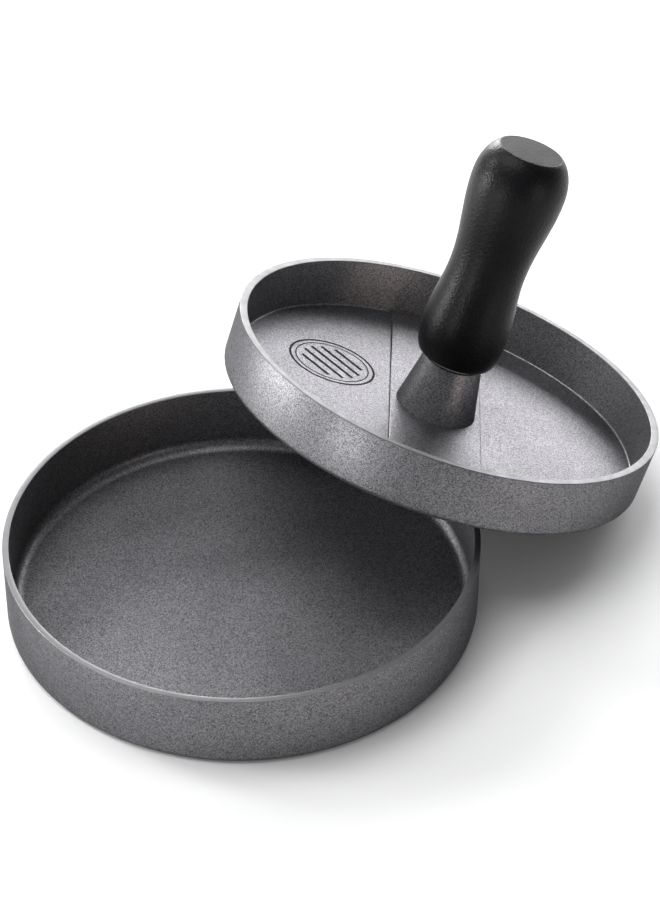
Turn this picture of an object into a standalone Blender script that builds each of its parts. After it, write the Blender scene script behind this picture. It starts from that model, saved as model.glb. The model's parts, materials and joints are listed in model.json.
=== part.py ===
"""Patty press: a cast tray and a press plate with a screwed-on grip, leaning on the tray's lip.

Metres, +Z up. The origin is the centre of the tray's flat underside, and the press leans towards
+X. Everything that belongs to the press is modelled upright about its own axis, with the underside
of the plate at zero, and is then placed by one empty.
"""

import math

import bmesh
import bpy
from mathutils import Matrix, Vector

MM = 0.001

# Gaps
TOUCH_GAP = 0.3 * MM
TABLE_GAP = 0.2 * MM
SUNK = 0.8 * MM

# Tray
TRAY_RADIUS = 60.0 * MM
TRAY_HEIGHT = 20.9 * MM
TRAY_WALL = 1.65 * MM
TRAY_FLOOR = 2.6 * MM
TRAY_DRAFT = 0.3 * MM
TRAY_FOOT_EDGE = 2.0 * MM
TRAY_INNER_FILLET = 3.0 * MM
LIP_EDGE = 0.25 * MM

# Press plate
PATTY_CLEARANCE = 1.15 * MM
PLATE_HEIGHT = 15.9 * MM
PLATE_WALL = 2.1 * MM
PLATE_FLOOR = 2.8 * MM
PLATE_DRAFT = 0.4 * MM
PLATE_INNER_DRAFT = 0.9 * MM
PLATE_FOOT_EDGE = 1.5 * MM
PLATE_INNER_FILLET = 0.8 * MM

# Raised band across the plate's floor
BAND_WIDTH = 24.8 * MM
BAND_RISE = 0.75 * MM
BAND_EDGE = 0.3 * MM
BAND_TURN = math.radians(51.7)

# Ribs under the plate
RIB_COUNT = 7
RIB_PITCH = 12.5 * MM
RIB_WIDTH = 3.4 * MM
RIB_TIP_SHARE = 0.6
RIB_DROP = 2.2 * MM
RIB_EDGE = 0.4 * MM
RIB_MARGIN = 9.5 * MM

# Boss
BOSS_BASE_RADIUS = 10.9 * MM
BOSS_TOP_RADIUS = 7.8 * MM
BOSS_ABOVE_RIM = 1.8 * MM
BOSS_EDGE = 0.3 * MM
BOSS_FILLET = 0.8 * MM

# Screwed joint of the handle
STUD_RADIUS = 4.0 * MM
STUD_EDGE = 0.5 * MM
STUD_IN_BOSS = 10.0 * MM
STUD_IN_INSERT = 14.0 * MM
HOLE_SPARE = 2.0 * MM
INSERT_WALL = 1.9 * MM
INSERT_LENGTH = 16.0 * MM
INSERT_EDGE = 0.4 * MM
WASHER_THICKNESS = 0.6 * MM
WASHER_OVERHANG = 0.2 * MM
WASHER_EDGE = 0.15 * MM

# Grip: a turned pin shape, its heights counted from its own lower end
GRIP_LENGTH = 60.0 * MM
GRIP_FOOT_RADIUS = 9.3 * MM
GRIP_LOWER_RADIUS = 11.4 * MM
GRIP_LOWER_HEIGHT = 9.0 * MM
GRIP_WAIST_RADIUS = 9.95 * MM
GRIP_WAIST_HEIGHT = 26.2 * MM
GRIP_UPPER_RADIUS = 12.4 * MM
GRIP_SHOULDER = 9.8 * MM
GRIP_CAP_RADIUS = 8.3 * MM
GRIP_SHOULDER_SWEEP = math.radians(70)

# Lean of the press on the tray
LEAN = math.radians(21.9)
SIDE_OFFSET = 11.1 * MM

# Facets
ROUND_STEPS = 72
HANDLE_STEPS = 40
ARC_STEPS = 4
GRIP_ARC_STEPS = 5
GRIP_FLANK_STEPS = 6
BEVEL_STEPS = 2
SCREW_MERGE = 0.01 * MM

# Sizes that follow from the ones above
PLATE_RADIUS = TRAY_RADIUS - TRAY_WALL - PATTY_CLEARANCE
HOLE_RADIUS = STUD_RADIUS + TOUCH_GAP
BOSS_TOP = PLATE_HEIGHT + BOSS_ABOVE_RIM
WASHER_BOTTOM = BOSS_TOP + TOUCH_GAP
GRIP_BOTTOM = WASHER_BOTTOM + WASHER_THICKNESS + TOUCH_GAP
STUD_BOTTOM = BOSS_TOP - STUD_IN_BOSS
STUD_TOP = GRIP_BOTTOM + STUD_IN_INSERT
HOLE_BOTTOM = STUD_BOTTOM - HOLE_SPARE
INSERT_RADIUS = HOLE_RADIUS + INSERT_WALL
INSERT_TOP = GRIP_BOTTOM + INSERT_LENGTH
GRIP_BORE_RADIUS = INSERT_RADIUS + TOUCH_GAP
GRIP_BORE_DEPTH = INSERT_LENGTH + TOUCH_GAP
RIB_REACH = PLATE_RADIUS - PLATE_DRAFT - RIB_MARGIN


def clear_scene() -> None:
    for scene_object in list(bpy.data.objects):
        bpy.data.objects.remove(scene_object, do_unlink=True)


def new_collection(name: str) -> bpy.types.Collection:
    collection = bpy.data.collections.new(name)
    bpy.context.scene.collection.children.link(collection)
    return collection


def new_material(name: str, colour: tuple, roughness: float, metallic: float) -> bpy.types.Material:
    material = bpy.data.materials.new(name)
    material.use_nodes = True
    shader = material.node_tree.nodes["Principled BSDF"]
    shader.inputs["Base Color"].default_value = (*colour, 1.0)
    shader.inputs["Roughness"].default_value = roughness
    shader.inputs["Metallic"].default_value = metallic
    return material


def rounded_profile(corners: list, steps: int = ARC_STEPS) -> list:
    """Corners are (radius, height, fillet) with the fillet zero at a sharp corner or an open end."""
    points = []
    for index, (across, up, fillet) in enumerate(corners):
        corner = Vector((across, up))
        if fillet == 0.0:
            points.append(corner)
            continue
        back = (Vector(corners[index - 1][:2]) - corner).normalized()
        ahead = (Vector(corners[index + 1][:2]) - corner).normalized()
        half = back.angle(ahead) / 2
        middle = corner + (back + ahead).normalized() * fillet / math.sin(half)
        first = corner + back * fillet / math.tan(half) - middle
        sweep = first.angle_signed(corner + ahead * fillet / math.tan(half) - middle)
        for step in range(steps + 1):
            points.append(middle + Matrix.Rotation(-sweep * step / steps, 2) @ first)
    return points


def turned(
    name: str, profile: list, steps: int, collection: bpy.types.Collection
) -> bpy.types.Object:
    """A profile of (radius, height) points, run down the outer side, turned about Z by a Screw."""
    mesh = bpy.data.meshes.new(name)
    verts = [(point[0], 0.0, point[1]) for point in profile]
    mesh.from_pydata(verts, [(i, i + 1) for i in range(len(verts) - 1)], [])
    body = bpy.data.objects.new(name, mesh)
    collection.objects.link(body)
    screw = body.modifiers.new("Turn", "SCREW")
    screw.axis = "Z"
    screw.steps = steps
    screw.render_steps = steps
    screw.use_merge_vertices = True
    screw.merge_threshold = SCREW_MERGE
    screw.use_smooth_shade = True
    return body


def closed_turned(
    name: str, profile: list, steps: int, collection: bpy.types.Collection
) -> bpy.types.Object:
    """A turned ring, its profile closed round a section that stays off the axis."""
    return turned(name, profile + [profile[0]], steps, collection)


def bar(
    name: str, size: tuple, centre: tuple, edge: float, collection: bpy.types.Collection
) -> bpy.types.Object:
    """A box of the stated size with softened edges, its scale kept in the mesh."""
    mesh = bpy.data.meshes.new(name)
    cube = bmesh.new()
    placement = Matrix.Translation(centre) @ Matrix.Diagonal((*size, 1.0))
    bmesh.ops.create_cube(cube, size=1.0, matrix=placement)
    cube.to_mesh(mesh)
    cube.free()
    body = bpy.data.objects.new(name, mesh)
    collection.objects.link(body)
    bevel = body.modifiers.new("Edges", "BEVEL")
    bevel.width = edge
    bevel.segments = BEVEL_STEPS
    return body


def join_into(target: bpy.types.Object, tool: bpy.types.Object) -> None:
    tool.hide_render = True
    tool.display_type = "WIRE"
    union = target.modifiers.new(f"Join {tool.name}", "BOOLEAN")
    union.operation = "UNION"
    union.solver = "EXACT"
    union.object = tool


def make_tray(collection: bpy.types.Collection) -> bpy.types.Object:
    foot_radius = TRAY_RADIUS - TRAY_DRAFT
    inner_top = TRAY_RADIUS - TRAY_WALL
    corners = [
        (0.0, TRAY_FLOOR, 0.0),
        (inner_top - TRAY_DRAFT, TRAY_FLOOR, TRAY_INNER_FILLET),
        (inner_top, TRAY_HEIGHT, LIP_EDGE),
        (TRAY_RADIUS, TRAY_HEIGHT, LIP_EDGE),
        (foot_radius, 0.0, TRAY_FOOT_EDGE),
        (0.0, 0.0, 0.0),
    ]
    return turned("tray", rounded_profile(corners), ROUND_STEPS, collection)


def make_ribs(collection: bpy.types.Collection) -> list:
    """Parallel bars across the underside, each as long as its chord of the ribbed circle."""
    ribs = []
    for index in range(RIB_COUNT):
        offset = (index - (RIB_COUNT - 1) / 2) * RIB_PITCH
        if abs(offset) + RIB_WIDTH > RIB_REACH:
            continue
        half_length = math.sqrt(RIB_REACH**2 - offset**2)
        size = (2 * half_length, RIB_WIDTH, RIB_DROP + SUNK)
        centre = (0.0, offset, (SUNK - RIB_DROP) / 2)
        rib = bar(f"rib_{index + 1}", size, centre, RIB_EDGE, collection)
        for vertex in rib.data.vertices:
            if vertex.co.z < 0.0:
                vertex.co.y = offset + (vertex.co.y - offset) * RIB_TIP_SHARE
        rib.rotation_euler.z = BAND_TURN
        ribs.append(rib)
    return ribs


def make_press_plate(
    collection: bpy.types.Collection, tools: bpy.types.Collection
) -> bpy.types.Object:
    inner_radius = PLATE_RADIUS - PLATE_WALL
    corners = [
        (0.0, HOLE_BOTTOM, 0.0),
        (HOLE_RADIUS, HOLE_BOTTOM, 0.0),
        (HOLE_RADIUS, BOSS_TOP, 0.0),
        (BOSS_TOP_RADIUS, BOSS_TOP, BOSS_EDGE),
        (BOSS_BASE_RADIUS, PLATE_FLOOR, BOSS_FILLET),
        (inner_radius - PLATE_INNER_DRAFT, PLATE_FLOOR, PLATE_INNER_FILLET),
        (inner_radius, PLATE_HEIGHT, LIP_EDGE),
        (PLATE_RADIUS, PLATE_HEIGHT, LIP_EDGE),
        (PLATE_RADIUS - PLATE_DRAFT, 0.0, PLATE_FOOT_EDGE),
        (0.0, 0.0, 0.0),
    ]
    plate = turned("press_plate", rounded_profile(corners), ROUND_STEPS, collection)
    band_length = 2 * math.sqrt((PLATE_RADIUS - PLATE_WALL / 2) ** 2 - (BAND_WIDTH / 2) ** 2)
    band_size = (band_length, BAND_WIDTH, BAND_RISE + SUNK)
    band_centre = (0.0, 0.0, PLATE_FLOOR + (BAND_RISE - SUNK) / 2)
    band = bar("band", band_size, band_centre, BAND_EDGE, tools)
    band.rotation_euler.z = BAND_TURN
    for tool in [band] + make_ribs(tools):
        join_into(plate, tool)
        tool.parent = plate
    return plate


def make_washer(collection: bpy.types.Collection) -> bpy.types.Object:
    outer = BOSS_TOP_RADIUS + WASHER_OVERHANG
    top = WASHER_BOTTOM + WASHER_THICKNESS
    ring = [
        (HOLE_RADIUS, WASHER_BOTTOM),
        (HOLE_RADIUS, top),
        (outer - WASHER_EDGE, top),
        (outer, top - WASHER_EDGE),
        (outer, WASHER_BOTTOM + WASHER_EDGE),
        (outer - WASHER_EDGE, WASHER_BOTTOM),
    ]
    return closed_turned("handle_washer", ring, HANDLE_STEPS, collection)


def make_stud(collection: bpy.types.Collection) -> bpy.types.Object:
    rod = [
        (0.0, STUD_TOP),
        (STUD_RADIUS - STUD_EDGE, STUD_TOP),
        (STUD_RADIUS, STUD_TOP - STUD_EDGE),
        (STUD_RADIUS, STUD_BOTTOM + STUD_EDGE),
        (STUD_RADIUS - STUD_EDGE, STUD_BOTTOM),
        (0.0, STUD_BOTTOM),
    ]
    return turned("handle_stud", rod, HANDLE_STEPS, collection)


def make_insert(collection: bpy.types.Collection) -> bpy.types.Object:
    sleeve = [
        (HOLE_RADIUS, GRIP_BOTTOM),
        (HOLE_RADIUS, INSERT_TOP),
        (INSERT_RADIUS - INSERT_EDGE, INSERT_TOP),
        (INSERT_RADIUS, INSERT_TOP - INSERT_EDGE),
        (INSERT_RADIUS, GRIP_BOTTOM + INSERT_EDGE),
        (INSERT_RADIUS - INSERT_EDGE, GRIP_BOTTOM),
    ]
    return closed_turned("handle_insert", sleeve, HANDLE_STEPS, collection)


def rounding(bulge: float, flat: float, reach: float, sweep: float, steps: int) -> list:
    """Part of an ellipse from the bulge radius at height zero to the flat radius at the reach."""
    points = []
    for step in range(steps + 1):
        angle = sweep * step / steps
        inwards = (1 - math.cos(angle)) / (1 - math.cos(sweep))
        across = bulge + (flat - bulge) * inwards
        points.append((across, reach * math.sin(angle) / math.sin(sweep)))
    return points


def eased(first: float, last: float, low: float, high: float, steps: int) -> list:
    """Radius that passes smoothly from first at the low height to last at the high height."""
    points = []
    for step in range(1, steps):
        share = step / steps
        blend = (1 - math.cos(math.pi * share)) / 2
        points.append((first + (last - first) * blend, low + (high - low) * share))
    return points


def grip_outline() -> list:
    """Outer side of the grip from its lower end to its cap, as (radius, height)."""
    upper_height = GRIP_LENGTH - GRIP_SHOULDER
    rounded_foot = rounding(
        GRIP_LOWER_RADIUS, GRIP_FOOT_RADIUS, GRIP_LOWER_HEIGHT, math.pi / 2, GRIP_ARC_STEPS
    )
    foot = [(across, GRIP_LOWER_HEIGHT - down) for across, down in rounded_foot]
    rounded_top = rounding(
        GRIP_UPPER_RADIUS, GRIP_CAP_RADIUS, GRIP_SHOULDER, GRIP_SHOULDER_SWEEP, GRIP_ARC_STEPS
    )
    shoulder = [(across, upper_height + up) for across, up in rounded_top]
    lower = eased(
        GRIP_LOWER_RADIUS,
        GRIP_WAIST_RADIUS,
        GRIP_LOWER_HEIGHT,
        GRIP_WAIST_HEIGHT,
        GRIP_FLANK_STEPS,
    )
    upper = eased(
        GRIP_WAIST_RADIUS,
        GRIP_UPPER_RADIUS,
        GRIP_WAIST_HEIGHT,
        upper_height,
        GRIP_FLANK_STEPS,
    )
    waist = [(GRIP_WAIST_RADIUS, GRIP_WAIST_HEIGHT)]
    return foot[::-1] + lower + waist + upper + shoulder


def make_grip(collection: bpy.types.Collection) -> bpy.types.Object:
    outside = [(across, GRIP_BOTTOM + up) for across, up in grip_outline()[::-1]]
    bore_top = GRIP_BOTTOM + GRIP_BORE_DEPTH
    bore = [(GRIP_BORE_RADIUS, GRIP_BOTTOM), (GRIP_BORE_RADIUS, bore_top), (0.0, bore_top)]
    profile = [(0.0, GRIP_BOTTOM + GRIP_LENGTH)] + outside + bore
    return turned("handle_grip", profile, HANDLE_STEPS, collection)


def press_placement() -> Matrix:
    """Where the press stands: its low edge on the table, its rib tips on the tray's lip."""
    edge_radius = PLATE_RADIUS - PLATE_DRAFT - PLATE_FOOT_EDGE
    low_edge = edge_radius * math.sin(LEAN) + PLATE_FOOT_EDGE * (1 - math.cos(LEAN))
    up = TABLE_GAP + low_edge
    clear_of_lip = RIB_DROP + TOUCH_GAP + (TRAY_HEIGHT - up) * math.cos(LEAN)
    along = TRAY_RADIUS + clear_of_lip / math.sin(LEAN)
    return Matrix.Translation((along, SIDE_OFFSET, up)) @ Matrix.Rotation(LEAN, 4, "Y")


def main() -> None:
    clear_scene()
    parts = new_collection("patty_press")
    tools = new_collection("cutters")
    coated = new_material("coated_aluminium", (0.20, 0.20, 0.21), 0.42, 0.85)
    black = new_material("soft_black_plastic", (0.012, 0.012, 0.013), 0.55, 0.0)
    steel = new_material("zinc_plated_steel", (0.62, 0.62, 0.60), 0.30, 1.0)
    brass = new_material("brass", (0.72, 0.53, 0.23), 0.32, 1.0)
    polymer = new_material("pale_nylon", (0.42, 0.42, 0.43), 0.50, 0.0)

    make_tray(parts).data.materials.append(coated)

    press_axis = bpy.data.objects.new("press_axis", None)
    parts.objects.link(press_axis)
    press_axis.matrix_world = press_placement()

    finishes = [
        (make_press_plate(parts, tools), coated),
        (make_washer(parts), polymer),
        (make_stud(parts), steel),
        (make_insert(parts), brass),
        (make_grip(parts), black),
    ]
    for body, material in finishes:
        body.data.materials.append(material)
        body.parent = press_axis


main()
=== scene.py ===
"""Patty press: a coated cast tray and a press plate with a black grip, leaning on the tray's lip."""

import json
import logging
import math
from dataclasses import dataclass
from enum import Enum
from typing import Callable, Sequence

import bpy
from mathutils import Matrix, Vector


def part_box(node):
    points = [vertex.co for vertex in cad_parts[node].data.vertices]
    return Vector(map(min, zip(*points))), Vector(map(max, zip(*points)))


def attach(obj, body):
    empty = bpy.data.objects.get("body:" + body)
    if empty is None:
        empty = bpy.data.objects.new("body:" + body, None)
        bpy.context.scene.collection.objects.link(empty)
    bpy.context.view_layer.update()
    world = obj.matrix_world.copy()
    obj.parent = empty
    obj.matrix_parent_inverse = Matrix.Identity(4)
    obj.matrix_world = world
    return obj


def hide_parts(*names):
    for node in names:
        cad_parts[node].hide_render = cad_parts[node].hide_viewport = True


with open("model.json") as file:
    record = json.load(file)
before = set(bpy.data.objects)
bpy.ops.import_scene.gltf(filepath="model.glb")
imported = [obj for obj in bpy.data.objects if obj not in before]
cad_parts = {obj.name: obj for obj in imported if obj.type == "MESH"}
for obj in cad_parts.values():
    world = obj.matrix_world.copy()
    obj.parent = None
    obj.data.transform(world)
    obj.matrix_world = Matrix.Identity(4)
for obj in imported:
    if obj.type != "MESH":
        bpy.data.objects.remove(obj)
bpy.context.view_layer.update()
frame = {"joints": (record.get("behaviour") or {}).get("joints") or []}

MM = 0.001
FACED_SHARE = 1.1  # a lip is bare down to this share of its edge rounding
LOG = logging.getLogger("patty_press")

Station = tuple[float, float]
Colour = tuple[float, float, float]


class Body(Enum):
    """Moving bodies of the frame that a piece can ride on."""

    TRAY = "tray"
    PRESS = "press"
    WASHER = "washer"
    HANDLE = "handle"


class Slot(Enum):
    """Material slots of the record."""

    CASTING = "coated_aluminium"
    NYLON = "nylon"
    STEEL = "steel"
    BRASS = "brass"
    PLASTIC = "soft_black_plastic"


# ---------------------------------------------------------------- modelling bench


class Bench:
    """Modelling steps shared by all pieces, each done with Blender's own operators."""

    @staticmethod
    def deselect() -> None:
        """Leave nothing selected and no edit mode open."""
        if bpy.context.object and bpy.context.object.mode != "OBJECT":
            bpy.ops.object.mode_set(mode="OBJECT")
        bpy.ops.object.select_all(action="DESELECT")

    @staticmethod
    def select_only(piece: bpy.types.Object) -> None:
        """Make one object the only selected and the active one.

        Args:
            piece: Object to select.
        """
        Bench.deselect()
        piece.select_set(True)
        bpy.context.view_layer.objects.active = piece

    @staticmethod
    def edit_all(piece: bpy.types.Object) -> None:
        """Open a piece in edit mode with all of its vertices selected.

        Args:
            piece: Piece to open.
        """
        Bench.select_only(piece)
        bpy.ops.object.mode_set(mode="EDIT")
        bpy.ops.mesh.select_mode(type="VERT")
        bpy.ops.mesh.select_all(action="SELECT")

    @staticmethod
    def close_up() -> None:
        """Turn all normals of the piece in edit mode outwards and go back to object mode."""
        bpy.ops.mesh.select_all(action="SELECT")
        bpy.ops.mesh.normals_make_consistent(inside=False)
        bpy.ops.object.mode_set(mode="OBJECT")

    @staticmethod
    def select_parts(piece: bpy.types.Object, mode: str, wanted: Callable[[object], bool]) -> int:
        """Select in edit mode the vertices, edges or faces that pass a test of their place.

        Args:
            piece: Object that is in edit mode.
            mode: VERT, EDGE or FACE.
            wanted: Test of one element of that kind.

        Returns:
            How many elements were selected.
        """
        bpy.ops.mesh.select_mode(type=mode)
        bpy.ops.mesh.select_all(action="DESELECT")
        bpy.ops.object.mode_set(mode="OBJECT")
        mesh = piece.data
        elements = {"VERT": mesh.vertices, "EDGE": mesh.edges, "FACE": mesh.polygons}[mode]
        count = 0
        for element in elements:
            if wanted(element):
                element.select = True
                count += 1
        bpy.ops.object.mode_set(mode="EDIT")
        return count

    @staticmethod
    def turned(name: str, stations: Sequence[Station], sides: int) -> bpy.types.Object:
        """Raise a round piece from a disc by extruding and scaling its cap from station to station.

        Args:
            name: Name of the piece.
            stations: (radius, height) pairs in order, from the first cap to the last.
            sides: Number of sides of the round.

        Returns:
            The closed piece, left in object mode.
        """
        Bench.deselect()
        radius, height = stations[0]
        bpy.ops.mesh.primitive_circle_add(
            vertices=sides, radius=radius, fill_type="NGON", location=(0.0, 0.0, height)
        )
        piece = bpy.context.object
        piece.name = name
        bpy.ops.object.transform_apply(location=True, rotation=True, scale=True)
        Bench.edit_all(piece)
        for next_radius, next_height in stations[1:]:
            bpy.ops.mesh.extrude_region_move(
                TRANSFORM_OT_translate={"value": (0.0, 0.0, next_height - height)}
            )
            share = next_radius / radius
            bpy.ops.transform.resize(
                value=(share, share, 1.0), center_override=(0.0, 0.0, next_height)
            )
            radius, height = next_radius, next_height
        Bench.close_up()
        return piece

    @staticmethod
    def flat_ring(
        name: str, inner: float, outer: float, bottom: float, thickness: float, sides: int
    ) -> bpy.types.Object:
        """Make a flat ring from a circle, widened to a band and then given its thickness.

        Args:
            name: Name of the ring.
            inner: Inner radius.
            outer: Outer radius.
            bottom: Height of the lower side.
            thickness: Thickness.
            sides: Number of sides of the round.

        Returns:
            The closed ring, left in object mode.
        """
        Bench.deselect()
        bpy.ops.mesh.primitive_circle_add(
            vertices=sides, radius=inner, fill_type="NOTHING", location=(0.0, 0.0, bottom)
        )
        ring = bpy.context.object
        ring.name = name
        bpy.ops.object.transform_apply(location=True, rotation=True, scale=True)
        Bench.edit_all(ring)
        share = outer / inner
        bpy.ops.mesh.extrude_region_move()
        bpy.ops.transform.resize(value=(share, share, 1.0), center_override=(0.0, 0.0, bottom))
        bpy.ops.mesh.select_all(action="SELECT")
        bpy.ops.mesh.extrude_region_move(TRANSFORM_OT_translate={"value": (0.0, 0.0, thickness)})
        Bench.close_up()
        return ring

    @staticmethod
    def soften_ring(
        piece: bpy.types.Object, radius: float, height: float, width: float, segments: int
    ) -> None:
        """Bevel the ring of edges at one corner of a turned piece.

        Args:
            piece: Turned piece about Z.
            radius: Radius of the corner.
            height: Height of the corner.
            width: Offset of the bevel along both sides.
            segments: Number of steps in the round.
        """
        near = 0.02 * MM
        mesh = piece.data

        def at_corner(edge: bpy.types.MeshEdge) -> bool:
            """Tell whether both ends of an edge lie on the corner's ring."""
            ends = [mesh.vertices[index].co for index in edge.vertices]
            return all(
                abs(end.z - height) < near and abs(end.xy.length - radius) < near for end in ends
            )

        Bench.select_only(piece)
        bpy.ops.object.mode_set(mode="EDIT")
        found = Bench.select_parts(piece, "EDGE", at_corner)
        if found:
            bpy.ops.mesh.bevel(offset=width, segments=segments, profile=0.5, affect="EDGES")
        else:
            LOG.warning("%s has no corner at %.4f, %.4f", piece.name, radius, height)
        bpy.ops.object.mode_set(mode="OBJECT")

    @staticmethod
    def bar(
        name: str, size: Sequence[float], centre: Sequence[float], edge: float, tip_share: float = 1.0
    ) -> bpy.types.Object:
        """Shape a bar from a cube: its lower side narrowed across Y, and all its edges softened.

        Args:
            name: Name of the bar.
            size: Length, width and height.
            centre: Centre of the bar.
            edge: Width of the softened edges.
            tip_share: Width of the lower side as a share of the upper one.

        Returns:
            The bar, left in object mode.
        """
        Bench.deselect()
        bpy.ops.mesh.primitive_cube_add(size=1.0, location=centre, scale=size)
        piece = bpy.context.object
        piece.name = name
        bpy.ops.object.transform_apply(location=True, rotation=True, scale=True)
        bpy.ops.object.mode_set(mode="EDIT")
        Bench.select_parts(piece, "FACE", lambda face: face.normal.z < -0.5)
        bpy.ops.transform.resize(value=(1.0, tip_share, 1.0), center_override=tuple(centre))
        bpy.ops.mesh.select_all(action="SELECT")
        bpy.ops.mesh.bevel(offset=edge, segments=4, profile=0.5, affect="EDGES")
        bpy.ops.object.mode_set(mode="OBJECT")
        return piece

    @staticmethod
    def turn_about_z(piece: bpy.types.Object, angle: float) -> None:
        """Turn a piece about the Z axis through the origin and keep the turn in its mesh.

        Args:
            piece: Piece to turn.
            angle: Angle in radians.
        """
        Bench.place(piece, Matrix.Rotation(angle, 4, "Z"))

    @staticmethod
    def place(piece: bpy.types.Object, where: Matrix) -> None:
        """Move a piece and keep the move in its mesh.

        Args:
            piece: Piece whose object sits at the origin.
            where: Placement to apply.
        """
        Bench.select_only(piece)
        piece.matrix_world = where
        bpy.ops.object.transform_apply(location=True, rotation=True, scale=True)

    @staticmethod
    def unite(target: bpy.types.Object, tool: bpy.types.Object) -> None:
        """Join a tool into a target with an exact Boolean, and remove the tool.

        Args:
            target: Piece that keeps the result.
            tool: Piece that is joined in.
        """
        Bench.select_only(target)
        union = target.modifiers.new("Join", "BOOLEAN")
        union.operation = "UNION"
        union.solver = "EXACT"
        union.object = tool
        bpy.ops.object.modifier_apply(modifier=union.name)
        bpy.data.objects.remove(tool, do_unlink=True)

    @staticmethod
    def joined(name: str, pieces: Sequence[bpy.types.Object]) -> bpy.types.Object:
        """Join several meshes into one object.

        Args:
            name: Name of the joined piece.
            pieces: Meshes to join.

        Returns:
            The joined piece.
        """
        Bench.deselect()
        for piece in pieces:
            piece.select_set(True)
        bpy.context.view_layer.objects.active = pieces[0]
        bpy.ops.object.join()
        pieces[0].name = name
        return pieces[0]

    @staticmethod
    def smooth(piece: bpy.types.Object, angle_deg: float = 32.0) -> None:
        """Shade smooth, keeping edges sharper than an angle.

        Args:
            piece: Piece to shade.
            angle_deg: Angle in degrees above which an edge stays sharp.
        """
        Bench.select_only(piece)
        bpy.ops.object.shade_smooth_by_angle(angle=math.radians(angle_deg))

    @staticmethod
    def dress(piece: bpy.types.Object, material: bpy.types.Material) -> None:
        """Give a piece one material all over.

        Args:
            piece: Piece to dress.
            material: Its material.
        """
        piece.data.materials.clear()
        piece.data.materials.append(material)

    @staticmethod
    def dress_faces(
        piece: bpy.types.Object, material: bpy.types.Material, wanted: Callable[[object], bool]
    ) -> None:
        """Give a second material to the faces that pass a test.

        Args:
            piece: Piece that already has its first material.
            material: Material of the chosen faces.
            wanted: Test of one face.
        """
        piece.data.materials.append(material)
        index = len(piece.data.materials) - 1
        for face in piece.data.polygons:
            if wanted(face):
                face.material_index = index

    @staticmethod
    def fit_to_frame(piece: bpy.types.Object, body: Body, slot: Slot, replaced: str = "") -> None:
        """Make a finished piece ride on a body and stand for its node.

        Args:
            piece: Finished piece.
            body: Body that carries it.
            slot: Record slot of its finish; not used.
            replaced: Node that it stands for, if any.
        """
        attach(piece, body.value)
        if replaced:
            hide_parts(replaced)
        LOG.info("%s: %d faces, rides on %s", piece.name, len(piece.data.polygons), body.value)


# ---------------------------------------------------------------- finishes


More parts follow.
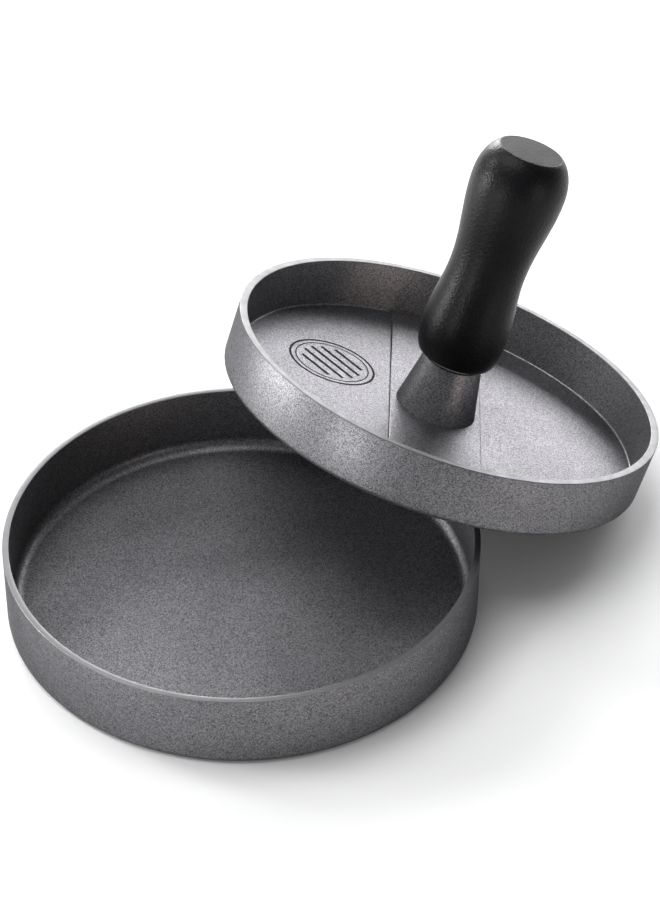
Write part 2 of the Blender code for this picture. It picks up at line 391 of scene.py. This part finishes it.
class NodeSheet:
    """A material's node tree with short calls to add and link nodes."""

    def __init__(self, name: str) -> None:
        """Start a material that has one Principled shader.

        Args:
            name: Name of the material.
        """
        self.material = bpy.data.materials.new(name)
        self.material.use_nodes = True
        self.tree = self.material.node_tree
        self.shader = self.tree.nodes["Principled BSDF"]

    def add(self, kind: str, **settings: object) -> bpy.types.Node:
        """Add a node and set its own properties.

        Args:
            kind: Node type, without the ShaderNode prefix.
            **settings: Properties of the node.

        Returns:
            The new node.
        """
        node = self.tree.nodes.new("ShaderNode" + kind)
        for key, value in settings.items():
            setattr(node, key, value)
        return node

    def link(self, source: bpy.types.NodeSocket, target: bpy.types.NodeSocket) -> None:
        """Link an output to an input."""
        self.tree.links.new(source, target)

    def set(self, **inputs: object) -> None:
        """Set inputs of the shader, an underscore standing for a space in the name."""
        for key, value in inputs.items():
            self.shader.inputs[key.replace("_", " ")].default_value = value

    def object_place(self, centre: Matrix | None = None) -> bpy.types.NodeSocket:
        """Object coordinates, seen from a piece's own axis where one is given.

        Args:
            centre: Placement of the piece's axis, or None for the frame's own.

        Returns:
            A vector socket.
        """
        socket = self.add("TexCoord").outputs["Object"]
        if centre is None:
            return socket
        mapping = self.add("Mapping", vector_type="TEXTURE")
        mapping.inputs["Location"].default_value = centre.to_translation()
        mapping.inputs["Rotation"].default_value = centre.to_euler()
        self.link(socket, mapping.inputs["Vector"])
        return mapping.outputs["Vector"]

    def noise(self, place: bpy.types.NodeSocket, scale: float, detail: float) -> bpy.types.NodeSocket:
        """Noise of a scale, in cycles a metre.

        Args:
            place: Coordinates.
            scale: Scale of the coarsest noise.
            detail: Number of octaves.

        Returns:
            The factor socket.
        """
        node = self.add("TexNoise")
        node.inputs["Scale"].default_value = scale
        node.inputs["Detail"].default_value = detail
        self.link(place, node.inputs["Vector"])
        return node.outputs["Fac"]

    def flakes(self, place: bpy.types.NodeSocket, scale: float) -> bpy.types.NodeSocket:
        """One random value to each cell of a cell pattern.

        Args:
            place: Coordinates.
            scale: Cells to a metre.

        Returns:
            The random value, from 0 to 1.
        """
        cells = self.add("TexVoronoi")
        cells.inputs["Scale"].default_value = scale
        self.link(place, cells.inputs["Vector"])
        parts = self.add("SeparateColor")
        self.link(cells.outputs["Color"], parts.inputs["Color"])
        return parts.outputs["Red"]

    def spread(self, value: bpy.types.NodeSocket, low: float, high: float) -> bpy.types.NodeSocket:
        """Map the middle of a 0 to 1 value onto a range.

        Args:
            value: Value to map.
            low: Result at 0.25 and below.
            high: Result at 0.75 and above.

        Returns:
            The mapped value.
        """
        node = self.add("MapRange")
        node.inputs["From Min"].default_value = 0.25
        node.inputs["From Max"].default_value = 0.75
        node.inputs["To Min"].default_value = low
        node.inputs["To Max"].default_value = high
        self.link(value, node.inputs["Value"])
        return node.outputs["Result"]

    def blend(
        self, factor: bpy.types.NodeSocket, first: Colour, second: Colour
    ) -> bpy.types.NodeSocket:
        """Mix two colours.

        Args:
            factor: Share of the second colour.
            first: Colour at 0.
            second: Colour at 1.

        Returns:
            The mixed colour.
        """
        node = self.add("Mix", data_type="RGBA")
        colours = [socket for socket in node.inputs if socket.type == "RGBA"]
        colours[0].default_value = (*first, 1.0)
        colours[1].default_value = (*second, 1.0)
        self.link(factor, node.inputs["Factor"])
        return [socket for socket in node.outputs if socket.type == "RGBA"][0]

    def bump(
        self, height: bpy.types.NodeSocket, strength: float, depth: float,
        before: bpy.types.NodeSocket | None = None,
    ) -> bpy.types.NodeSocket:
        """Bump from a height, on top of an earlier bump where one is given.

        Args:
            height: Height from 0 to 1.
            strength: Strength of the bump.
            depth: Depth in metres.
            before: Normal of an earlier bump.

        Returns:
            The normal socket.
        """
        node = self.add("Bump")
        node.inputs["Strength"].default_value = strength
        node.inputs["Distance"].default_value = depth
        self.link(height, node.inputs["Height"])
        if before is not None:
            self.link(before, node.inputs["Normal"])
        return node.outputs["Normal"]


@dataclass(frozen=True)
class CoatedCasting:
    """Cast aluminium under a grey non-stick coat that carries fine metal flakes."""

    dark: Colour = (0.070, 0.069, 0.075)
    light: Colour = (0.275, 0.271, 0.283)
    edge: Colour = (0.25, 0.25, 0.25)
    roughness_low: float = 0.41
    roughness_high: float = 0.49
    metallic: float = 0.92
    clouds_a_metre: float = 60.0
    flakes_a_metre: float = 4600.0
    flake_strength: float = 0.35
    flake_depth: float = 0.012 * MM
    grain_a_metre: float = 3000.0
    grain_strength: float = 0.5
    grain_depth: float = 0.016 * MM

    def material(self) -> bpy.types.Material:
        """Build the coat.

        Returns:
            The material.
        """
        sheet = NodeSheet("coated_casting")
        place = sheet.object_place()
        flake = sheet.flakes(place, self.flakes_a_metre)
        grain = sheet.noise(place, self.grain_a_metre, 3.0)
        cloud = sheet.noise(place, self.clouds_a_metre, 2.0)
        sheet.link(sheet.blend(flake, self.dark, self.light), sheet.shader.inputs["Base Color"])
        rough = sheet.spread(cloud, self.roughness_low, self.roughness_high)
        sheet.link(rough, sheet.shader.inputs["Roughness"])
        tilt = sheet.bump(flake, self.flake_strength, self.flake_depth)
        rise = sheet.bump(grain, self.grain_strength, self.grain_depth, tilt)
        sheet.link(rise, sheet.shader.inputs["Normal"])
        sheet.set(Metallic=self.metallic, Specular_Tint=(*self.edge, 1.0))
        return sheet.material


@dataclass(frozen=True)
class TurnedMetal:
    """Bare aluminium faced on a lathe, with the fine rings that the tool leaves."""

    name: str
    axis: Matrix | None = None
    colour: Colour = (0.14, 0.14, 0.143)
    worn: Colour = (0.10, 0.10, 0.102)
    roughness: float = 0.44
    roughness_spread: float = 0.1
    wear_a_metre: float = 300.0
    rings_a_metre: float = 900.0
    ring_wander: float = 1.5
    ring_strength: float = 0.25
    ring_depth: float = 0.01 * MM

    def material(self) -> bpy.types.Material:
        """Build the faced metal.

        Returns:
            The material.
        """
        sheet = NodeSheet(self.name)
        place = sheet.object_place(self.axis)
        rings = sheet.add("TexWave", wave_type="RINGS", rings_direction="Z")
        rings.inputs["Scale"].default_value = self.rings_a_metre
        rings.inputs["Distortion"].default_value = self.ring_wander
        sheet.link(place, rings.inputs["Vector"])
        wear = sheet.noise(place, self.wear_a_metre, 4.0)
        sheet.link(sheet.blend(wear, self.colour, self.worn), sheet.shader.inputs["Base Color"])
        rough = sheet.spread(wear, self.roughness, self.roughness + self.roughness_spread)
        sheet.link(rough, sheet.shader.inputs["Roughness"])
        lines = sheet.bump(rings.outputs["Fac"], self.ring_strength, self.ring_depth)
        sheet.link(lines, sheet.shader.inputs["Normal"])
        sheet.set(Metallic=1.0)
        return sheet.material


@dataclass(frozen=True)
class SoftPlastic:
    """Moulded plastic with a fine spark-eroded grain."""

    name: str
    dark: Colour
    light: Colour
    roughness: float
    smoother: float = 0.03
    rougher: float = 0.05
    clouds_a_metre: float = 120.0
    grain_a_metre: float = 1500.0
    grain_depth: float = 0.06 * MM
    shine: float = 0.15

    def material(self) -> bpy.types.Material:
        """Build the plastic.

        Returns:
            The material.
        """
        sheet = NodeSheet(self.name)
        place = sheet.object_place()
        grain = sheet.noise(place, self.grain_a_metre, 2.0)
        cloud = sheet.noise(place, self.clouds_a_metre, 3.0)
        specks = sheet.spread(grain, 0.0, 1.0)
        sheet.link(sheet.blend(specks, self.dark, self.light), sheet.shader.inputs["Base Color"])
        rough = sheet.spread(
            cloud, self.roughness - self.smoother, self.roughness + self.rougher
        )
        sheet.link(rough, sheet.shader.inputs["Roughness"])
        sheet.link(sheet.bump(specks, 1.0, self.grain_depth), sheet.shader.inputs["Normal"])
        sheet.set(Specular_IOR_Level=self.shine)
        return sheet.material


@dataclass(frozen=True)
class SmallMetal:
    """Metal of the small turned parts inside the grip."""

    name: str
    colour: Colour
    dull: Colour
    roughness: float
    roughness_spread: float = 0.12
    clouds_a_metre: float = 700.0
    bump_strength: float = 0.2
    bump_depth: float = 0.01 * MM

    def material(self) -> bpy.types.Material:
        """Build the metal.

        Returns:
            The material.
        """
        sheet = NodeSheet(self.name)
        place = sheet.object_place()
        cloud = sheet.noise(place, self.clouds_a_metre, 4.0)
        sheet.link(sheet.blend(cloud, self.colour, self.dull), sheet.shader.inputs["Base Color"])
        rough = sheet.spread(cloud, self.roughness, self.roughness + self.roughness_spread)
        sheet.link(rough, sheet.shader.inputs["Roughness"])
        dents = sheet.bump(cloud, self.bump_strength, self.bump_depth)
        sheet.link(dents, sheet.shader.inputs["Normal"])
        sheet.set(Metallic=1.0)
        return sheet.material


@dataclass(frozen=True)
class PrintInk:
    """Dark ink of the printed mark, worn thin in places."""

    dark: Colour = (0.010, 0.010, 0.011)
    worn: Colour = (0.045, 0.045, 0.048)
    wear_a_metre: float = 900.0
    roughness: float = 0.8
    shine: float = 0.02

    def material(self) -> bpy.types.Material:
        """Build the ink.

        Returns:
            The material.
        """
        sheet = NodeSheet("print_ink")
        place = sheet.object_place()
        wear = sheet.spread(sheet.noise(place, self.wear_a_metre, 3.0), 0.0, 1.0)
        sheet.link(sheet.blend(wear, self.dark, self.worn), sheet.shader.inputs["Base Color"])
        sheet.set(Roughness=self.roughness, Specular_IOR_Level=self.shine)
        return sheet.material


# ---------------------------------------------------------------- the object's own frame


@dataclass(frozen=True)
class Lean:
    """Where the press stands, read from the joint that turns its handle."""

    pivot_height: float = 18.0 * MM

    def matrix(self) -> Matrix:
        """Placement of the upright press, its underside at zero.

        Returns:
            The placement.
        """
        turn = next(joint for joint in frame["joints"] if joint["name"] == "handle_turn")
        axis = Vector(turn["axis"])
        foot = Vector(turn["pos_m"]) - axis * self.pivot_height
        tilt = math.atan2(axis.x, axis.z)
        return Matrix.Translation(foot) @ Matrix.Rotation(tilt, 4, "Y")


# ---------------------------------------------------------------- sub-assemblies


@dataclass
class Tray:
    """Round tray that holds the patty."""

    wall: float = 1.65 * MM
    floor: float = 2.6 * MM
    draft: float = 0.3 * MM
    foot_edge: float = 2.0 * MM
    inner_fillet: float = 3.0 * MM
    lip_edge: float = 0.22 * MM
    sides: int = 256

    def build(self, coat: bpy.types.Material, bare: bpy.types.Material) -> bpy.types.Object:
        """Model and dress the tray.

        Args:
            coat: Finish of the casting.
            bare: Finish of the faced lip.

        Returns:
            The tray.
        """
        low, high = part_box("tray")
        radius = (high.x - low.x) / 2
        height = high.z
        inner = radius - self.wall
        corners = [
            (radius - self.draft, 0.0, self.foot_edge, 6),
            (radius, height, self.lip_edge, 3),
            (inner, height, self.lip_edge, 3),
            (inner - self.draft, self.floor, self.inner_fillet, 8),
        ]
        tray = Bench.turned("tray_casting", [corner[:2] for corner in corners], self.sides)
        for across, up, width, segments in corners:
            Bench.soften_ring(tray, across, up, width, segments)
        bare_from = height - FACED_SHARE * self.lip_edge
        Bench.smooth(tray)
        Bench.dress(tray, coat)
        Bench.dress_faces(tray, bare, lambda face: face.center.z > bare_from)
        Bench.fit_to_frame(tray, Body.TRAY, Slot.CASTING, "tray")
        return tray


@dataclass
class PressPlate:
    """Dished plate with its raised band, boss and ribs."""

    radius: float = 57.2 * MM
    height: float = 15.9 * MM
    wall: float = 2.1 * MM
    floor: float = 2.8 * MM
    draft: float = 0.4 * MM
    inner_draft: float = 0.9 * MM
    foot_edge: float = 1.5 * MM
    inner_fillet: float = 0.45 * MM
    lip_edge: float = 0.22 * MM
    band_width: float = 24.8 * MM
    band_rise: float = 0.75 * MM
    band_turn: float = math.radians(51.7)
    rib_count: int = 7
    rib_pitch: float = 12.5 * MM
    rib_width: float = 3.4 * MM
    rib_drop: float = 2.2 * MM
    rib_margin: float = 9.5 * MM
    boss_base: float = 10.9 * MM
    boss_top: float = 7.8 * MM
    boss_above_rim: float = 1.8 * MM
    hole: float = 4.3 * MM
    hole_depth: float = 12.0 * MM
    hole_draft: float = 0.25 * MM
    boss_base_edge: float = 0.5 * MM
    boss_top_edge: float = 0.35 * MM
    hole_edge: float = 0.25 * MM
    rib_edge: float = 0.5 * MM
    rib_tip_share: float = 0.6
    band_edge: float = 0.3 * MM
    sunk: float = 0.8 * MM
    sides: int = 256

    def stations(self) -> list[tuple[float, float, float, int]]:
        """Corners of the turned part, each with the width and steps of its bevel.

        Returns:
            (radius, height, bevel width, bevel segments) from the underside to the boss's hole.
        """
        inner = self.radius - self.wall
        top = self.height + self.boss_above_rim
        return [
            (self.radius - self.draft, 0.0, self.foot_edge, 6),
            (self.radius, self.height, self.lip_edge, 3),
            (inner, self.height, self.lip_edge, 3),
            (inner - self.inner_draft, self.floor, self.inner_fillet, 5),
            (self.boss_base, self.floor, self.boss_base_edge, 4),
            (self.boss_top, top, self.boss_top_edge, 4),
            (self.hole, top, self.hole_edge, 2),
            (self.hole - self.hole_draft, top - self.hole_depth, 0.0, 1),
        ]

    def ribs(self) -> list[bpy.types.Object]:
        """Parallel ribs under the plate, each as long as its chord of the ribbed circle.

        Returns:
            The ribs.
        """
        reach = self.radius - self.draft - self.rib_margin
        ribs = []
        for index in range(self.rib_count):
            offset = (index - (self.rib_count - 1) / 2) * self.rib_pitch
            length = 2 * math.sqrt(reach**2 - offset**2)
            size = (length, self.rib_width, self.rib_drop + self.sunk)
            centre = (0.0, offset, (self.sunk - self.rib_drop) / 2)
            rib = Bench.bar(f"rib_{index + 1}", size, centre, self.rib_edge, self.rib_tip_share)
            Bench.turn_about_z(rib, self.band_turn)
            ribs.append(rib)
        return ribs

    def band(self) -> bpy.types.Object:
        """Raised band that crosses the plate's floor.

        Returns:
            The band.
        """
        half = math.sqrt((self.radius - self.wall / 2) ** 2 - (self.band_width / 2) ** 2)
        size = (2 * half, self.band_width, self.band_rise + self.sunk)
        centre = (0.0, 0.0, self.floor + (self.band_rise - self.sunk) / 2)
        band = Bench.bar("band", size, centre, self.band_edge)
        Bench.turn_about_z(band, self.band_turn)
        return band

    def build(
        self, coat: bpy.types.Material, bare: bpy.types.Material, where: Matrix
    ) -> bpy.types.Object:
        """Model and dress the plate.

        Args:
            coat: Finish of the casting.
            bare: Finish of the faced rim.
            where: Placement of the press.

        Returns:
            The plate.
        """
        corners = self.stations()
        plate = Bench.turned("press_casting", [corner[:2] for corner in corners], self.sides)
        for across, up, width, segments in corners:
            if width:
                Bench.soften_ring(plate, across, up, width, segments)
        for tool in [self.band()] + self.ribs():
            Bench.unite(plate, tool)
        Bench.smooth(plate)
        Bench.dress(plate, coat)
        inner = self.radius - self.wall
        bare_from = self.height - FACED_SHARE * self.lip_edge

        def on_rim(face: bpy.types.MeshPolygon) -> bool:
            """Tell whether a face is on the top of the rim wall, and not on the boss."""
            return face.center.xy.length > inner - 0.1 * MM and face.center.z > bare_from

        Bench.dress_faces(plate, bare, on_rim)
        Bench.place(plate, where)
        Bench.fit_to_frame(plate, Body.PRESS, Slot.CASTING, "press_plate")
        return plate


@dataclass
class PrintedMark:
    """Plain printed mark on the plate: two rings round five grill bars."""

    across: float = -16.4 * MM
    along: float = 25.0 * MM
    height: float = 2.83 * MM
    thickness: float = 0.03 * MM
    outer: float = 11.8 * MM
    inner: float = 10.1 * MM
    line: float = 0.6 * MM
    bar_pitch: float = 3.1 * MM
    bar_width: float = 0.95 * MM
    bar_reach: float = 8.2 * MM
    turn: float = math.radians(96.0)
    sides: int = 96

    def ring(self, radius: float, line: float) -> bpy.types.Object:
        """Flat printed ring of an outer radius and a line width."""
        return Bench.flat_ring(
            "mark_ring", radius - line, radius, 0.0, self.thickness, self.sides
        )

    def build(self, ink: bpy.types.Material, where: Matrix) -> bpy.types.Object:
        """Model and dress the mark.

        Args:
            ink: Finish of the print.
            where: Placement of the press.

        Returns:
            The mark.
        """
        pieces = [self.ring(self.outer, self.line), self.ring(self.inner, self.line / 2)]
        for step in range(-2, 3):
            offset = step * self.bar_pitch
            length = 2 * math.sqrt(self.bar_reach**2 - offset**2)
            centre = (0.0, offset, self.thickness / 2)
            size = (length, self.bar_width, self.thickness)
            pieces.append(Bench.bar("grill_bar", size, centre, self.thickness / 3))
        mark = Bench.joined("printed_mark", pieces)
        Bench.turn_about_z(mark, self.turn)
        Bench.dress(mark, ink)
        spot = Matrix.Translation((self.across, self.along, self.height))
        Bench.place(mark, where @ spot)
        Bench.fit_to_frame(mark, Body.PRESS, Slot.CASTING)
        return mark


@dataclass
class Handle:
    """Grip, washer, threaded stud and moulded-in insert, all turned about the press's axis."""

    washer_bottom: float = 18.0 * MM
    washer_thickness: float = 0.6 * MM
    washer_radius: float = 8.0 * MM
    washer_edge: float = 0.15 * MM
    bore: float = 4.3 * MM
    grip_bottom: float = 18.9 * MM
    grip_length: float = 60.0 * MM
    foot_radius: float = 9.3 * MM
    lower_radius: float = 11.4 * MM
    lower_height: float = 9.0 * MM
    waist_radius: float = 9.95 * MM
    waist_height: float = 26.2 * MM
    upper_radius: float = 12.4 * MM
    shoulder: float = 9.8 * MM
    cap_radius: float = 8.3 * MM
    cap_edge: float = 0.3 * MM
    shoulder_sweep: float = math.radians(70)
    round_steps: int = 10
    flank_steps: int = 16
    insert_radius: float = 6.2 * MM
    insert_length: float = 16.0 * MM
    insert_gap: float = 0.3 * MM
    bore_draft: float = 0.05 * MM
    groove_depth: float = 0.5 * MM
    knurl_depth: float = 0.25 * MM
    stud_bottom: float = 7.7 * MM
    stud_top: float = 32.9 * MM
    stud_radius: float = 4.0 * MM
    pitch: float = 1.25 * MM
    thread_steps: int = 32
    thread_merge: float = 0.002 * MM
    sides: int = 128

    def outline(self) -> list[Station]:
        """Outer side of the grip from its lower end to its cap.

        Returns:
            (radius, height) pairs, heights from the grip's own lower end.
        """
        top = self.grip_length - self.shoulder
        points = []
        steps = self.round_steps
        for step in range(steps + 1):
            angle = math.pi / 2 * step / steps
            across = self.foot_radius + (self.lower_radius - self.foot_radius) * math.sin(angle)
            points.append((across, self.lower_height * (1 - math.cos(angle))))
        flanks = [
            (self.lower_radius, self.waist_radius, self.lower_height, self.waist_height),
            (self.waist_radius, self.upper_radius, self.waist_height, top),
        ]
        for first, last, low, high in flanks:
            for step in range(1, self.flank_steps + 1):
                share = step / self.flank_steps
                ease = (1 - math.cos(math.pi * share)) / 2
                points.append((first + (last - first) * ease, low + (high - low) * share))
        sweep = self.shoulder_sweep
        for step in range(1, steps + 1):
            angle = sweep * step / steps
            inwards = (1 - math.cos(angle)) / (1 - math.cos(sweep))
            across = self.upper_radius + (self.cap_radius - self.upper_radius) * inwards
            points.append((across, top + self.shoulder * math.sin(angle) / math.sin(sweep)))
        return points

    def build_grip(
        self, plastic: bpy.types.Material, matt: bpy.types.Material, where: Matrix
    ) -> bpy.types.Object:
        """Model and dress the grip with its blind bore.

        Args:
            plastic: Finish of the grip.
            matt: Duller finish of its flat end.
            where: Placement of the press.

        Returns:
            The grip.
        """
        bore = self.insert_radius + self.insert_gap
        depth = self.insert_length + self.insert_gap
        stations = [(bore - self.bore_draft, depth), (bore, 0.0)] + self.outline()
        stations = [(across, self.grip_bottom + up) for across, up in stations]
        grip = Bench.turned("grip_body", stations, self.sides)
        cap_height = self.grip_bottom + self.grip_length
        Bench.soften_ring(grip, self.cap_radius, cap_height, self.cap_edge, 3)
        Bench.smooth(grip, 40.0)
        Bench.dress(grip, plastic)
        Bench.dress_faces(grip, matt, lambda face: face.center.z > cap_height - 0.05 * MM)
        Bench.place(grip, where)
        Bench.fit_to_frame(grip, Body.HANDLE, Slot.PLASTIC, "handle_grip")
        return grip

    def build_washer(self, nylon: bpy.types.Material, where: Matrix) -> bpy.types.Object:
        """Model and dress the washer under the grip.

        Args:
            nylon: Finish of the washer.
            where: Placement of the press.

        Returns:
            The washer.
        """
        top = self.washer_bottom + self.washer_thickness
        washer = Bench.flat_ring(
            "spacer_washer", self.bore, self.washer_radius,
            self.washer_bottom, self.washer_thickness, self.sides,
        )
        for across in (self.washer_radius, self.bore):
            for up in (self.washer_bottom, top):
                Bench.soften_ring(washer, across, up, self.washer_edge, 3)
        Bench.smooth(washer)
        Bench.dress(washer, nylon)
        Bench.place(washer, where)
        Bench.fit_to_frame(washer, Body.WASHER, Slot.NYLON, "handle_washer")
        return washer

    def build_stud(self, steel: bpy.types.Material, where: Matrix) -> bpy.types.Object:
        """Model and dress the stud with its cut thread.

        Args:
            steel: Finish of the stud.
            where: Placement of the press.

        Returns:
            The stud.
        """
        root = self.stud_radius - 0.6 * self.pitch
        spare = 2 * self.pitch
        turns = math.ceil((self.stud_top - self.stud_bottom + 2 * spare) / self.pitch)
        Bench.deselect()
        bpy.ops.mesh.primitive_plane_add(size=self.pitch)
        stud = bpy.context.object
        stud.name = "threaded_stud"
        Bench.edit_all(stud)
        bpy.ops.mesh.merge(type="CENTER")
        start = self.stud_bottom - spare
        bpy.ops.transform.translate(value=(root, 0.0, start))
        crest = self.stud_radius - root
        for across, up in ((0.0, 0.15), (crest, 0.35), (0.0, 0.15), (-crest, 0.35)):
            bpy.ops.mesh.extrude_region_move(
                TRANSFORM_OT_translate={"value": (across, 0.0, up * self.pitch)}
            )
        bpy.ops.object.mode_set(mode="OBJECT")
        screw = stud.modifiers.new("Thread", "SCREW")
        screw.steps = self.thread_steps
        screw.render_steps = self.thread_steps
        screw.screw_offset = self.pitch
        screw.iterations = turns
        screw.use_merge_vertices = True
        screw.merge_threshold = self.thread_merge
        Bench.select_only(stud)
        bpy.ops.object.modifier_apply(modifier=screw.name)
        Bench.edit_all(stud)
        bpy.ops.mesh.remove_doubles(threshold=self.thread_merge)
        for height, up in ((self.stud_top, 1.0), (self.stud_bottom, -1.0)):
            bpy.ops.mesh.select_all(action="SELECT")
            bpy.ops.mesh.bisect(
                plane_co=(0.0, 0.0, height), plane_no=(0.0, 0.0, up), use_fill=True, clear_outer=True
            )
        Bench.close_up()
        Bench.smooth(stud, 28.0)
        Bench.dress(stud, steel)
        Bench.place(stud, where)
        Bench.fit_to_frame(stud, Body.HANDLE, Slot.STEEL, "handle_stud")
        return stud

    def build_insert(self, brass: bpy.types.Material, where: Matrix) -> bpy.types.Object:
        """Model and dress the insert, its two bands cut with straight knurls.

        Args:
            brass: Finish of the insert.
            where: Placement of the press.

        Returns:
            The insert.
        """
        bottom = self.grip_bottom
        groove = self.insert_radius - self.groove_depth
        levels = [0.0, 0.5, 6.0, 6.5, 9.5, 10.0, 15.5, 16.0]
        radii = [groove, self.insert_radius, self.insert_radius, groove] * 2
        stations = [(self.bore, bottom)]
        stations += [(across, bottom + up * MM) for across, up in zip(radii, levels)]
        stations += [(self.bore, bottom + self.insert_length)]
        insert = Bench.turned("knurled_insert", stations, self.sides)
        Bench.select_only(insert)
        bpy.ops.object.mode_set(mode="EDIT")
        Bench.select_parts(insert, "FACE", lambda face: face.center.xy.length < 1.0 * MM)
        bpy.ops.mesh.bridge_edge_loops()
        step = 2 * math.pi / self.sides

        def in_valley(vertex: bpy.types.MeshVertex) -> bool:
            """Tell whether a point is on a band and at the bottom of a knurl."""
            on_band = vertex.co.xy.length > self.insert_radius - 0.1 * MM
            turn = round(math.atan2(vertex.co.y, vertex.co.x) / step)
            return on_band and turn % 2 == 0

        Bench.select_parts(insert, "VERT", in_valley)
        share = 1 - self.knurl_depth / self.insert_radius
        middle = bottom + self.insert_length / 2
        bpy.ops.transform.resize(value=(share, share, 1.0), center_override=(0.0, 0.0, middle))
        Bench.close_up()
        Bench.smooth(insert, 20.0)
        Bench.dress(insert, brass)
        Bench.place(insert, where)
        Bench.fit_to_frame(insert, Body.HANDLE, Slot.BRASS, "handle_insert")
        return insert


# ---------------------------------------------------------------- studio


@dataclass(frozen=True)
class Softbox:
    """Rectangular studio light aimed at a point."""

    name: str
    place: tuple[float, float, float]
    aim: tuple[float, float, float]
    size: tuple[float, float]
    power: float
    colour: Colour = (1.0, 1.0, 1.0)

    def build(self) -> bpy.types.Object:
        """Put up the light.

        Returns:
            The light.
        """
        lamp = bpy.data.lights.new(self.name, "AREA")
        lamp.shape = "RECTANGLE"
        lamp.size, lamp.size_y = self.size
        lamp.energy = self.power
        lamp.color = self.colour
        light = bpy.data.objects.new(self.name, lamp)
        bpy.context.scene.collection.objects.link(light)
        light.location = self.place
        away = Vector(self.aim) - Vector(self.place)
        light.rotation_euler = away.to_track_quat("-Z", "Y").to_euler()
        return light


@dataclass
class Studio:
    """Camera, pale floor, softboxes and sky light."""

    eye: tuple[float, float, float] = (-0.36895, -0.57201, 0.61491)
    aim: tuple[float, float, float] = (0.02633, -0.00081, 0.03729)
    roll: float = math.radians(0.11)
    lens: float = 144.0
    sensor: float = 36.0
    clip: tuple[float, float] = (0.01, 50.0)
    floor_size: float = 6.0
    floor_tone: float = 0.88
    floor_roughness: float = 0.9
    sky_colour: Colour = (0.80, 0.82, 0.85)
    sky_strength: float = 0.30

    def camera(self) -> None:
        """Set the camera in front and above, looking down on both halves."""
        data = bpy.data.cameras.new("camera")
        data.lens = self.lens
        data.sensor_width = self.sensor
        data.clip_start, data.clip_end = self.clip
        camera = bpy.data.objects.new("camera", data)
        bpy.context.scene.collection.objects.link(camera)
        away = Vector(self.aim) - Vector(self.eye)
        turn = away.to_track_quat("-Z", "Y").to_matrix().to_4x4()
        roll = Matrix.Rotation(self.roll, 4, "Z")
        camera.matrix_world = Matrix.Translation(self.eye) @ turn @ roll
        bpy.context.scene.camera = camera

    def floor(self) -> None:
        """Lay the pale floor."""
        Bench.deselect()
        bpy.ops.mesh.primitive_plane_add(size=self.floor_size, location=(0.0, 0.0, 0.0))
        floor = bpy.context.object
        floor.name = "studio_floor"
        sheet = NodeSheet("studio_floor")
        tone = (self.floor_tone, self.floor_tone, self.floor_tone, 1.0)
        sheet.set(Base_Color=tone, Roughness=self.floor_roughness)
        Bench.dress(floor, sheet.material)

    def light(self) -> None:
        """Put up the softboxes and the sky light."""
        centre = (0.03, 0.0, 0.03)
        grip = (0.09, 0.01, 0.09)
        boxes = [
            Softbox("back_box", (1.10, 0.68, 0.42), (0.05, 0.02, 0.04), (0.95, 0.60), 17.0),
            Softbox("high_box", (0.45, 1.02, 0.26), grip, (0.45, 0.36), 13.0),
            Softbox("rim_box", (-0.45, 0.85, 0.60), grip, (0.22, 0.30), 4.0),
            Softbox("side_strip", (-0.85, 0.72, 0.20), (0.09, 0.01, 0.06), (0.30, 0.30), 8.5),
            Softbox("top_box", (-0.25, 0.35, 1.5), centre, (1.2, 1.2), 18.0),
            Softbox("left_box", (-1.2, -0.20, 0.16), centre, (0.2, 0.25), 4.0),
            Softbox("front_box", (0.22, -1.2, 0.14), centre, (0.15, 0.25), 1.8, (1.0, 0.86, 0.76)),
        ]
        for box in boxes:
            box.build()
        world = bpy.data.worlds.new("studio_sky")
        world.use_nodes = True
        sky = world.node_tree.nodes["Background"]
        sky.inputs["Color"].default_value = (*self.sky_colour, 1.0)
        sky.inputs["Strength"].default_value = self.sky_strength
        bpy.context.scene.world = world
        bpy.context.scene.view_settings.view_transform = "Standard"


def main() -> None:
    """Build every sub-assembly in order, then the studio."""
    logging.basicConfig(level=logging.INFO, format="%(name)s: %(message)s")
    where = Lean().matrix()
    coat = CoatedCasting().material()
    lip = TurnedMetal("faced_lip", None, (0.20, 0.20, 0.204), (0.15, 0.15, 0.153), 0.42)
    Tray().build(coat, lip.material())
    PressPlate().build(coat, TurnedMetal("faced_rim", where).material(), where)
    PrintedMark().build(PrintInk().material(), where)
    black, speck = (0.001, 0.0009, 0.0012), (0.0060, 0.0055, 0.0066)
    plastic = SoftPlastic("grip_plastic", black, speck, 0.38)
    matt = SoftPlastic("grip_end", black, speck, 0.62)
    nylon = SoftPlastic("washer_nylon", (0.34, 0.34, 0.35), (0.46, 0.46, 0.46), 0.45)
    steel = SmallMetal("plated_steel", (0.62, 0.62, 0.60), (0.5, 0.5, 0.48), 0.25)
    brass = SmallMetal("insert_brass", (0.72, 0.53, 0.23), (0.6, 0.42, 0.17), 0.28)
    handle = Handle()
    handle.build_grip(plastic.material(), matt.material(), where)
    handle.build_washer(nylon.material(), where)
    handle.build_stud(steel.material(), where)
    handle.build_insert(brass.material(), where)
    studio = Studio()
    studio.camera()
    studio.floor()
    studio.light()


if __name__ == "__main__":
    main()
